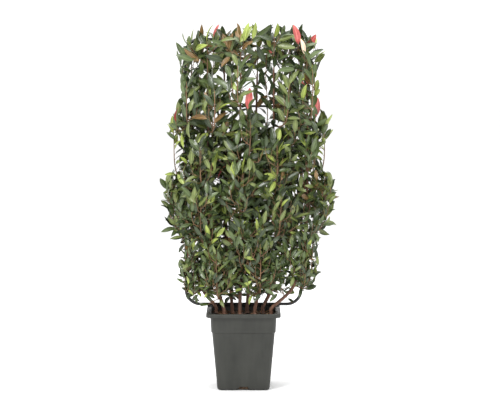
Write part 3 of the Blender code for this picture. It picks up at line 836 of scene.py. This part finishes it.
def make_ties():
    """Plastic ties round the frame's top corners, each a band with its cut tail."""
    joined = Joined()
    for x, drop in TIE_PLACES:
        upright = abs(x) > FRAME_HALF - FRAME_BEND
        centre = Vector((x, FRAME_Y, FRAME_TOP + drop))
        along_way, across = (UP, ALONG_X) if upright else (ALONG_X, UP)
        for band in TIE_BANDS:
            middle = centre + band * along_way
            ring = circle(middle, across, ALONG_Y, TUBE_RADIUS + TIE_STAND_OFF, TIE_STEPS)
            for ends in zip(ring, ring[1:] + ring[:1]):
                joined.add_tube(ends, [TIE_RADIUS] * 2, TIE_SIDES)
        head = centre - Vector((0, TUBE_RADIUS + TIE_HEAD_OUT, 0))
        tail = head + across * TIE_TAIL[0] - Vector((0, TIE_TAIL[1], 0))
        ends = [head - across * TIE_HEAD_HALF, head + across * TIE_HEAD_HALF]
        joined.add_tube(ends, [TIE_HEAD_RADIUS] * 2, TIE_HEAD_SIDES)
        joined.add_tube([head, tail], TIE_TAIL_RADII, TIE_SIDES)
    ties = joined.make("frame_ties")
    dress(ties, "frame_coating", frame_coating())


def half_width(z):
    """Half the crown's width at a height."""
    half = CROWN_HALF
    if z < CROWN_FOOT + FOOT_SPREAD:
        half = between(CROWN_FOOT_HALF, CROWN_HALF, (z - CROWN_FOOT) / FOOT_SPREAD)
    if z > CROWN_TOP - TOP_SPREAD:
        half = between(CROWN_TOP_HALF, CROWN_HALF, (CROWN_TOP - z) / TOP_SPREAD)
    for height, reach, spread in SIDE_TIERS:
        share = 1 - abs(z - height) / spread
        half = max(half, between(CROWN_HALF, reach, min(1, 2 * share)))
    return half


def half_depth(z):
    """Half the crown's depth at a height: full up to its middle, and less towards its top."""
    share = max(0, (z - CROWN_WAIST) / (CROWN_TOP - CROWN_WAIST))
    return between(CROWN_DEPTH_HALF, CROWN_TOP_DEPTH_HALF, share ** 2)


def in_crown(point, inset=1):
    """Whether a point lies within the crown's outline, or within a share of its width."""
    if not CROWN_FOOT < point.z < CROWN_TOP:
        return False
    across = abs(point.x - CROWN_X) / (half_width(point.z) * inset)
    deep = abs(point.y - CROWN_Y) / (half_depth(point.z) * inset)
    return across ** CROWN_SQUARENESS + deep ** CROWN_SQUARENESS <= 1


def each_stem():
    """Each stem's name, side, number and row. They take turns in the back row, 0, and the front, 1."""
    for word, side in SIDES:
        for number in range(1, len(STEM_TOP_X) + 1):
            yield f"stem_{word}_{number}", side, number, (number + (side > 0)) % 2


def stem_path(side, number, row):
    """Points and radii up a stem, from its flat foot on the potting mix to its tip."""
    index = number - 1
    foot = Vector((side * STEM_FOOT_X[index], ROW_FOOT_Y[row], SOIL_HEIGHT + GAP))
    start = Vector((foot.x * STEM_EASE, foot.y, RIM_HEIGHT + STEM_FLARE_HEIGHT))
    top = Vector((CROWN_X + side * STEM_TOP_X[index], ROW_TOP_Y[row], STEM_END[index]))
    points = [foot, foot + STEM_FLARE_HEIGHT * UP]
    radii = [STEM_RADIUS[index] * STEM_FLARE, STEM_RADIUS[index]]
    for step in range(STEM_STEPS + 1):
        share = (step / STEM_STEPS) ** STEM_CROWDING
        across = 1 - (1 - share) ** STEM_QUICKNESS[index]
        back = 1 - (1 - share) ** STEM_LEAN_QUICKNESS
        wave = STEM_WAVE * math.sin(STEM_WAVE_TURN * share + number) * math.sin(math.pi * share)
        x = between(start.x, top.x, across) + wave
        points.append(Vector((x, between(start.y, top.y, back), between(start.z, top.z, share))))
        radii.append(between(STEM_RADIUS[index], STEM_TIP_RADIUS, share))
    return points, radii


def along(points, radii, height):
    """The point, direction and radius of a rising path at a height."""
    for low, high, thick, thin in zip(points, points[1:], radii, radii[1:]):
        if height <= high.z:
            share = (height - low.z) / (high.z - low.z)
            return low.lerp(high, share), (high - low).normalized(), between(thick, thin, share)
    return points[-1], (points[-1] - points[-2]).normalized(), radii[-1]


class Taken:
    """What stands in the crown already: closed shapes, each with its owner."""

    def __init__(self):
        self.shapes = []

    def add_tube(self, owner, points, radii):
        """Notes a bar or a twig, with air round it, one straight stretch at a time."""
        for i in range(len(points) - 1):
            fat = [radius + CLEARANCE for radius in radii[i:i + 2]]
            stretch = loft(rings_round(points[i:i + 2], fat, CLEARANCE_SIDES))
            self.shapes.append((owner, BVHTree.FromPolygons(*stretch)))

    def touches(self, stem, points, radii):
        """Whether a twig runs into anything. Its foot may touch the stem that it grows on."""
        clear = [points[0].lerp(points[1], TWIG_TEST_FROM), *points[1:]]
        whole = BVHTree.FromPolygons(*loft(rings_round(points, radii, AXIS_SIDES)))
        outer = BVHTree.FromPolygons(*loft(rings_round(clear, radii, AXIS_SIDES)))
        return any((outer if owner == stem else whole).overlap(shape) for owner, shape in self.shapes)


def twig_path(start, way, length, rng):
    """Points along a twig: straight off at first, then up, and back in near the crown's edge."""
    count = max(2, round(length / TWIG_STEP))
    points = [start]
    for _ in range(count):
        points.append(points[-1] + way * length / count)
        wobble = Vector([rng.uniform(-1, 1) for _ in range(3)])
        way = way + TWIG_LIFT * UP + TWIG_WOBBLE * wobble
        if not in_crown(points[-1] + way.normalized() * length / count, TWIG_INSET):
            way = way * TWIG_TURN_BACK + UP
        way.normalize()
    return points


def tapered(points, thick, thin=TWIG_TIP_RADIUS):
    """Radii that taper along a twig to its tip."""
    last = len(points) - 1
    return [thick + (thin - thick) * i / last for i in range(last + 1)]


def walk(points, distance):
    """The point and the direction at a distance along a path."""
    for low, high in zip(points, points[1:]):
        length = (high - low).length
        if distance <= length:
            return low.lerp(high, distance / length), (high - low) / length
        distance -= length
    return points[-1], (points[-1] - points[-2]).normalized()


def path_length(points):
    """The length of a path."""
    return sum((high - low).length for low, high in zip(points, points[1:]))


def aside(way, spread, turn):
    """A direction at an angle off another, turned round it."""
    across = way.orthogonal().normalized()
    across.rotate(Quaternion(way, turn))
    return (math.cos(spread) * way + math.sin(spread) * across).normalized()


def outwards(point):
    """The way out of the crown, to the front or the back."""
    return Vector(((point.x - CROWN_X) / CROWN_HALF / 2, math.copysign(1, point.y - CROWN_Y), 0))


def tip_axis(path, row, rng):
    """The stem of a mass that carries on from a stem's tip and leans to the back or the front."""
    way = (path[-1] - path[-2]).normalized()
    start = path[-1] + way * GAP
    bend = start + way * TIP_STRAIGHT
    lean = (UP + TIP_LEAN[row] * Vector((0, 1 - 2 * row, 0))).normalized()
    return [start] + twig_path(bend, lean, TIP_LENGTH, rng)


def side_axis(path, radii, height, degrees, rng):
    """The stem of a mass that starts on the side of a stem, square to it, and turns up."""
    point, stem_way, radius = along(path, radii, height)
    out = Vector((math.cos(math.radians(degrees)), math.sin(math.radians(degrees)), 0))
    way = (out - out.dot(stem_way) * stem_way).normalized()
    return twig_path(point + way * (radius + GAP), way, SIDE_LENGTH, rng)


def clear_axis(stem, draw_axis, taken):
    """The first of a mass's possible stems that runs into nothing."""
    for _ in range(AXIS_TRIES):
        axis = draw_axis()
        radii = tapered(axis, TWIG_RADIUS)
        if not taken.touches(stem, axis, radii):
            break
    taken.add_tube("mass", axis, radii)
    return axis


def mass_axes(stems, rng):
    """Every mass's stem, as the source grows it: its points, its bare foot and its side twigs."""
    taken = Taken()
    loop = frame_loop()
    taken.add_tube("frame_tube", loop + loop[:1], [TUBE_RADIUS] * (len(loop) + 1))
    for ends in rungs():
        taken.add_tube("frame_rung", ends, [RUNG_RADIUS] * 2)
    for name, (points, radii) in stems.items():
        taken.add_tube(name, points, radii)
    axes = []
    for stem, _, _, row in each_stem():
        draw_axis = partial(tip_axis, stems[stem][0], row, rng)
        axes.append((clear_axis(stem, draw_axis, taken), TIP_BARE, TIP_SIDE_TWIGS))
    for tier, side_twigs in enumerate(SIDE_TWIGS):
        for stem, ways, rise in PLACES:
            height = TIER_FOOT + TIER_RISE * tier + rise
            draw_axis = partial(side_axis, *stems[stem], height, ways[tier], rng)
            axes.append((clear_axis(stem, draw_axis, taken), SIDE_BARE, side_twigs))
    return axes


def smooth_path(points, radii, ring_step):
    """A path through the same points, in short steps and without corners."""
    fine, thick = [], []
    for i in range(len(points) - 1):
        before = points[max(i - 1, 0)]
        after = points[min(i + 2, len(points) - 1)]
        low, high = points[i], points[i + 1]
        count = max(1, round((high - low).length / ring_step))
        leave, arrive = (high - before) * 0.5, (after - low) * 0.5
        for step in range(count):
            share = step / count
            fine.append(
                (2 * share ** 3 - 3 * share ** 2 + 1) * low
                + (share ** 3 - 2 * share ** 2 + share) * leave
                + (3 * share ** 2 - 2 * share ** 3) * high
                + (share ** 3 - share ** 2) * arrive
            )
            thick.append(between(radii[i], radii[i + 1], share))
    return fine + [points[-1]], thick + [radii[-1]]


def make_stems(stems):
    """The stems with the relief of their bark: streaks, swellings at the nodes and a flared foot."""
    joined = Joined()
    for index, (points, radii) in enumerate(stems.values()):
        fine, thick = smooth_path(points, radii, STEM_RING_STEP)
        rings = rings_round(fine, thick, STEM_SIDES)
        for ring, centre in zip(rings[1:-1], fine[1:-1]):
            knot = KNOT_HEIGHT * max(0, math.cos(centre.z * KNOT_TURN + index)) ** KNOT_SHARPNESS
            for i, point in enumerate(ring):
                way = point - centre
                place = point * BARK_STRETCH * BARK_RELIEF_SIZE
                ring[i] = point + way * (BARK_RELIEF * noise.noise(place) + knot)
        joined.add(*loft(rings))
    stems_piece = joined.make("stems_bark")
    bark = bark_material("stem_bark", (0.062, 0.030, 0.020), (0.205, 0.098, 0.058))
    dress(stems_piece, "stem_bark", bark)
    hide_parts(*stems)


@dataclass
class Leaf:
    """A leaf: its kind, where it starts, its way, where its face turns, its length and its droop."""

    kind: str
    root: Vector
    way: Vector
    light: Vector
    length: float
    droop: float


def leaf_mesh(name, leaves, rng):
    """All the leaves of a kind as one mesh, each a long oval of two sheets, with UVs."""
    data = np.array([(*leaf.root, *leaf.way, *leaf.light, leaf.length, leaf.droop) for leaf in leaves])
    root, way, light, length, droop = np.split(data, (3, 6, 9, 10), axis=1)
    across = np.cross(light, way)
    across /= np.linalg.norm(across, axis=1, keepdims=True)
    face_up = np.cross(way, across)
    share = np.linspace(0, 1, LEAF_STATIONS + 1)
    wide = np.sin(np.pi * share ** LEAF_LEAN) ** LEAF_FULLNESS * LEAF_WIDTH_SHARE / 2
    wide[0] = wide[-1] = 0
    ripple = rng.uniform(-1, 1, droop.shape)
    ripple = ripple * np.sin(share * RIPPLE_TURN + rng.uniform(0, RIPPLE_START, droop.shape))
    sink = droop * share ** 2
    bend = share - LEAF_CURL * sink * share
    sheet, place = [], []
    for side in (-1, 0, 1):
        up = abs(side) * (wide * LEAF_FOLD * 2 + LEAF_RIPPLE * ripple * (wide > 0)) - sink
        point = bend[..., None] * way[:, None] + up[..., None] * face_up[:, None]
        point = point + side * wide[:, None] * across[:, None]
        sheet.append(root[:, None] + length[..., None] * point)
        place.append(np.stack([np.full_like(share, 0.5 + side * 0.5), share], axis=1))
    upper = np.stack(sheet, axis=2)
    lower = upper - (LEAF_THICKNESS * face_up)[:, None, None]
    points = np.concatenate([upper, lower]).reshape(-1, 3)
    rows = range(0, 3 * LEAF_STATIONS, 3)
    quads = [(low, low + 1, low + 4, low + 3) for row in rows for low in (row, row + 1)]
    first = 3 * (LEAF_STATIONS + 1) * np.arange(len(leaves))[:, None, None]
    top = (np.array(quads) + first).reshape(-1, 4)
    faces = np.concatenate([top, top[:, ::-1] + len(points) // 2])
    made = new_mesh_object(name, points.tolist(), faces.tolist())
    made.data.polygons.foreach_set("material_index", np.repeat([0, 1], len(top)).astype(np.int32))
    uv = np.tile(np.stack(place, axis=1).reshape(-1, 2), (2 * len(leaves), 1))
    layer = made.data.uv_layers.new(name="UVMap")
    layer.data.foreach_set("uv", uv[faces.ravel()].astype(np.float32).ravel())
    rework(made, weld)
    made.data.shade_smooth()
    return made


def crown_share(z):
    """How far up the crown a height is, from 0 at its foot to 1 at its top."""
    return (z - CROWN_FOOT) / (CROWN_TOP - CROWN_FOOT)


def leaf_length(z):
    """How long leaves are at a height: the higher, the longer."""
    return between(LOW_LEAF_LENGTH, TOP_LEAF_LENGTH, min(1, crown_share(z) * LEAF_LENGTH_RISE))


def leaf_spacing(z):
    """How far apart leaves are at a height: the higher, the further."""
    return between(*LEAF_SPACING, min(1, max(0, crown_share(z) * LEAF_LENGTH_RISE)))


def kind_at(z, rng):
    """A kind of leaf for a spray at a height."""
    share = 2 * crown_share(z)
    weights = []
    for foot, middle, top in KIND_SHARES.values():
        if share < 1:
            weights.append(between(foot, middle, share))
        else:
            weights.append(between(middle, top, (share - 1) ** 2))
    return rng.choices(list(KIND_SHARES), weights)[0]


def near_tube(point):
    """Whether a point lies in or right against the frame's tube or a rung."""
    reach = TUBE_RADIUS + TUBE_CLEAR
    if abs(point.y - FRAME_Y) > reach:
        return False
    if abs(abs(point.x) - FRAME_HALF) < reach or abs(point.z - FRAME_TOP) < reach:
        return abs(point.x) < FRAME_HALF + reach
    rung = (FRAME_TOP - FRAME_FOOT) / (RUNG_COUNT + 1)
    level = (point.z - FRAME_FOOT) % rung
    return min(level, rung - level) < reach and abs(point.x) < FRAME_HALF


def fits(path):
    """Whether a twig stays in the crown and clear of the frame."""
    return all(in_crown(point, TWIG_ROOM) and not near_tube(point) for point in path[1:])


class Crown:
    """The twigs, the leaf stalks and the leaves of the whole plant."""

    def __init__(self, rng):
        self.rng = rng
        self.twigs = Joined()
        self.stalks = Joined()
        self.leaves = []

    def add_leaves(self, points, bare, spacing):
        """Adds leaves in a spiral along a twig, the last at its tip."""
        rng = self.rng
        length = path_length(points)
        turn = rng.uniform(0, math.tau)
        kind = kind_at(points[-1].z, rng)
        count = max(1, int((length - bare) / spacing))
        for i in range(count + 1):
            distance = bare + (length - bare) * i / count
            spot, way = walk(points, distance)
            spread = between(LEAF_SPREAD_LOW, LEAF_SPREAD_TIP, (distance / length) ** 2)
            leaf_kind = kind if rng.random() < OWN_KIND_SHARE else kind_at(spot.z, rng)
            for _ in range(LEAF_TRIES):
                turn += GOLDEN_ANGLE
                leaf_way = aside(way, spread * rng.uniform(*LEAF_SPREAD_RANGE), turn)
                size = leaf_length(spot.z) * rng.uniform(*LEAF_LENGTH_RANGE)
                root = spot + leaf_way * (size * PETIOLE_SHARE)
                tip = root + leaf_way * size
                if not in_crown(tip) or near_tube(tip) or near_tube(root.lerp(tip, 0.5)):
                    continue
                jitter = Vector([rng.gauss(0, LEAF_JITTER) for _ in range(3)])
                light = way + LEAF_FACING * outwards(spot) + jitter
                droop = rng.uniform(*LEAF_DROOP)
                self.stalks.add_tube([spot, root], PETIOLE_RADII, PETIOLE_SIDES)
                self.leaves.append(Leaf(leaf_kind, root, leaf_way, light, size, droop))
                break

    def add_spray(self, points, thick, bare, side_twigs, reach, fine_twigs=0):
        """A twig with its leaves and its finer twigs, the lowest the longest."""
        rng = self.rng
        thin = TWIG_TIP_RADIUS if fine_twigs else FINE_TIP_RADIUS
        fine, radii = smooth_path(points, tapered(points, thick, thin), TWIG_RING_STEP)
        self.twigs.add_tube(fine, radii, TWIG_SIDES)
        self.add_leaves(points, bare, leaf_spacing(points[0].z))
        length = path_length(points)
        turn = rng.uniform(0, math.tau)
        for i in range(side_twigs):
            share = i / side_twigs
            start, way = walk(points, bare + (length - bare) * SIDE_TWIG_ZONE * share)
            long = reach * (1 - SIDE_TWIG_SHORTENING * share) * rng.uniform(*SIDE_TWIG_LENGTH_RANGE)
            for _ in range(TWIG_TRIES):
                turn += GOLDEN_ANGLE
                twig = twig_path(start, aside(way, SIDE_TWIG_SPREAD, turn), long, rng)
                if fits(twig):
                    radius = SIDE_TWIG_RADIUS if fine_twigs else FINE_TWIG_RADIUS
                    self.add_spray(twig, radius, LEAF_SPACING[0], fine_twigs, FINE_TWIG_LENGTH)
                    break

    def make(self):
        """Makes the pieces, which stand for the foliage nodes."""
        masses = [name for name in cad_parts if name.startswith("foliage_")]
        twigs = self.twigs.make("fine_twigs")
        bark = bark_material("twig_bark", (0.090, 0.060, 0.032), (0.235, 0.125, 0.066))
        dress(twigs, "stem_bark", bark)
        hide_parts(*masses)
        stalks = self.stalks.make("leaf_stalks")
        skin = bark_material("stalk_skin", (0.130, 0.120, 0.040), (0.290, 0.160, 0.080))
        dress(stalks, "leaves_fresh", skin)
        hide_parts(*masses)
        draw = np.random.default_rng(SEED)
        for kind, (slot, upper, under, roughness) in LEAF_KINDS.items():
            piece = leaf_mesh(f"leaves_{kind}", [leaf for leaf in self.leaves if leaf.kind == kind], draw)
            top = leaf_material(f"leaf_{kind}", upper, roughness, UPPER_VEIN_LIFT)
            below = leaf_material(f"leaf_{kind}_under", under, roughness + UNDER_ROUGHER, UNDER_VEIN_LIFT)
            dress(piece, slot, top, below)
            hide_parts(*masses)


def pixel_of(point):
    """Where a point shows in the photograph."""
    place = point - CAMERA_PLACE
    depth = place.y * math.cos(CAMERA_PITCH) - place.z * math.sin(CAMERA_PITCH)
    rise = place.y * math.sin(CAMERA_PITCH) + place.z * math.cos(CAMERA_PITCH)
    scale = FOCAL_PIXELS / depth
    return Vector((IMAGE_SIZE[0] / 2 + place.x * scale, IMAGE_SIZE[1] / 2 - rise * scale))


def off_pixel(leaf, pixel):
    """How far a leaf shows from a pixel, where a leaf further back counts as further off."""
    middle = leaf.root + leaf.way * leaf.length / 2
    behind = middle.y - CROWN_Y + CROWN_DEPTH_HALF
    return (pixel_of(middle) - Vector(pixel)).length + YOUNG_DEPTH_COST * behind


def make_young(leaves, kind, pixel):
    """Makes the leaf that shows nearest a pixel one of a given kind, more upright and larger: a young
    kind, or the pale kind that is a painted highlight.
    """
    others = [leaf for leaf in leaves if leaf.kind != kind]
    nearest = min(others, key=partial(off_pixel, pixel=pixel))
    nearest.kind = kind
    nearest.way = (nearest.way + YOUNG_LIFT * UP).normalized()
    nearest.length *= YOUNG_GROWTH
    above = nearest.root.z + nearest.way.z * nearest.length - CROWN_TOP
    nearest.root = nearest.root - max(0, above) * UP


def shoot_path(points, radii, end_x, foot, top, rng):
    """An upright shoot: it leaves a stem at a slant and turns upright."""
    start, _, _ = along(points, radii, foot)
    path = []
    for step in range(SHOOT_STEPS + 1):
        share = step / SHOOT_STEPS
        across = 1 - (1 - share) ** SHOOT_QUICKNESS
        sway, lurch = (rng.uniform(-most, most) * min(1, step) for most in SHOOT_WAVER)
        x = between(start.x, end_x, across) + sway
        y = start.y + (CROWN_Y - start.y) * across * SHOOT_TO_MIDDLE + lurch
        path.append(Vector((x, y, between(start.z, top, share))))
    return path


def add_stem_sprays(crown, points, radii):
    """Short sprays in a spiral round a stem's lower half."""
    rng = crown.rng
    turn = rng.uniform(0, math.tau)
    height = SPRAY_FOOT + rng.uniform(0, SPRAY_STEP)
    while height < SPRAY_TOP:
        point, way, _ = along(points, radii, height)
        for _ in range(TWIG_TRIES):
            turn += GOLDEN_ANGLE
            length = SPRAY_LENGTH * rng.uniform(*SPRAY_LENGTH_RANGE)
            path = twig_path(point, aside(way, SIDE_TWIG_SPREAD * SPRAY_SPREAD, turn), length, rng)
            if fits(path):
                crown.add_spray(path, SPRAY_RADIUS, SPRAY_BARE, SPRAY_TWIGS, SPRAY_TWIG_LENGTH)
                break
        height += SPRAY_STEP


def make_crown(stems):
    """All the shoots, twigs and leaves."""
    crown = Crown(random.Random(SEED + 1))
    for axis, bare, side_twigs in mass_axes(stems, random.Random(SEED)):
        crown.add_spray(axis, TWIG_RADIUS, bare, side_twigs, SIDE_TWIG_LENGTH, FINE_TWIGS)
    for stem, end_x, foot, top in SHOOTS:
        path = shoot_path(*stems[stem], end_x, foot, top, crown.rng)
        crown.add_spray(path, SHOOT_RADIUS, SHOOT_BARE, SHOOT_TWIGS, SHOOT_TWIG_LENGTH, 1)
    for points, radii in stems.values():
        fine, _ = smooth_path(points, radii, STEM_PATH_STEP)
        leafy = [point for point in fine if point.z > STEM_LEAF_FOOT]
        crown.add_leaves(leafy, STEM_LEAF_BARE, STEM_LEAF_STEP)
    for points, radii in stems.values():
        add_stem_sprays(crown, points, radii)
    for kind, pixels in YOUNG_LEAVES_AND_HIGHLIGHTS.items():
        for pixel in pixels:
            make_young(crown.leaves, kind, pixel)
    crown.make()


def make_stage():
    """A pale floor, soft studio light and the camera."""
    bpy.ops.mesh.primitive_plane_add(size=FLOOR_SIZE, location=(0, 0, -FLOOR_DROP))
    floor = bpy.context.object
    floor.name = "floor"
    shader = Shader("floor", FLOOR_GREY, 0.9, specular=0.1)
    floor.data.materials.append(shader.material)
    world = bpy.data.worlds.new("studio")
    bpy.context.scene.world = world
    world.use_nodes = True
    background = world.node_tree.nodes["Background"]
    background.inputs["Color"].default_value = (*WHITE, 1)
    background.inputs["Strength"].default_value = WORLD_STRENGTH
    bpy.context.scene.view_settings.view_transform = "Standard"
    for name, place, size, power in LAMPS:
        light = bpy.data.lights.new(name, "AREA")
        light.size = size
        light.energy = power
        lamp = in_scene(name, light)
        lamp.location = place
        aim = Vector((0, 0, LAMP_AIM)) - Vector(place)
        lamp.rotation_euler = aim.to_track_quat("-Z", "Y").to_euler()
    data = bpy.data.cameras.new("camera")
    data.sensor_width = SENSOR_WIDTH
    data.lens = FOCAL_PIXELS * SENSOR_WIDTH / IMAGE_SIZE[0]
    camera = in_scene("camera", data)
    camera.location = CAMERA_PLACE
    camera.rotation_euler = (math.radians(90) - CAMERA_PITCH, 0, 0)
    bpy.context.scene.camera = camera


def main():
    """Makes every piece and the stage."""
    stems = {name: stem_path(*place) for name, *place in each_stem()}
    make_pot()
    make_potting_mix()
    make_chips(random.Random(SEED))
    make_frame()
    make_stems(stems)
    make_crown(stems)
    make_stage()


main()
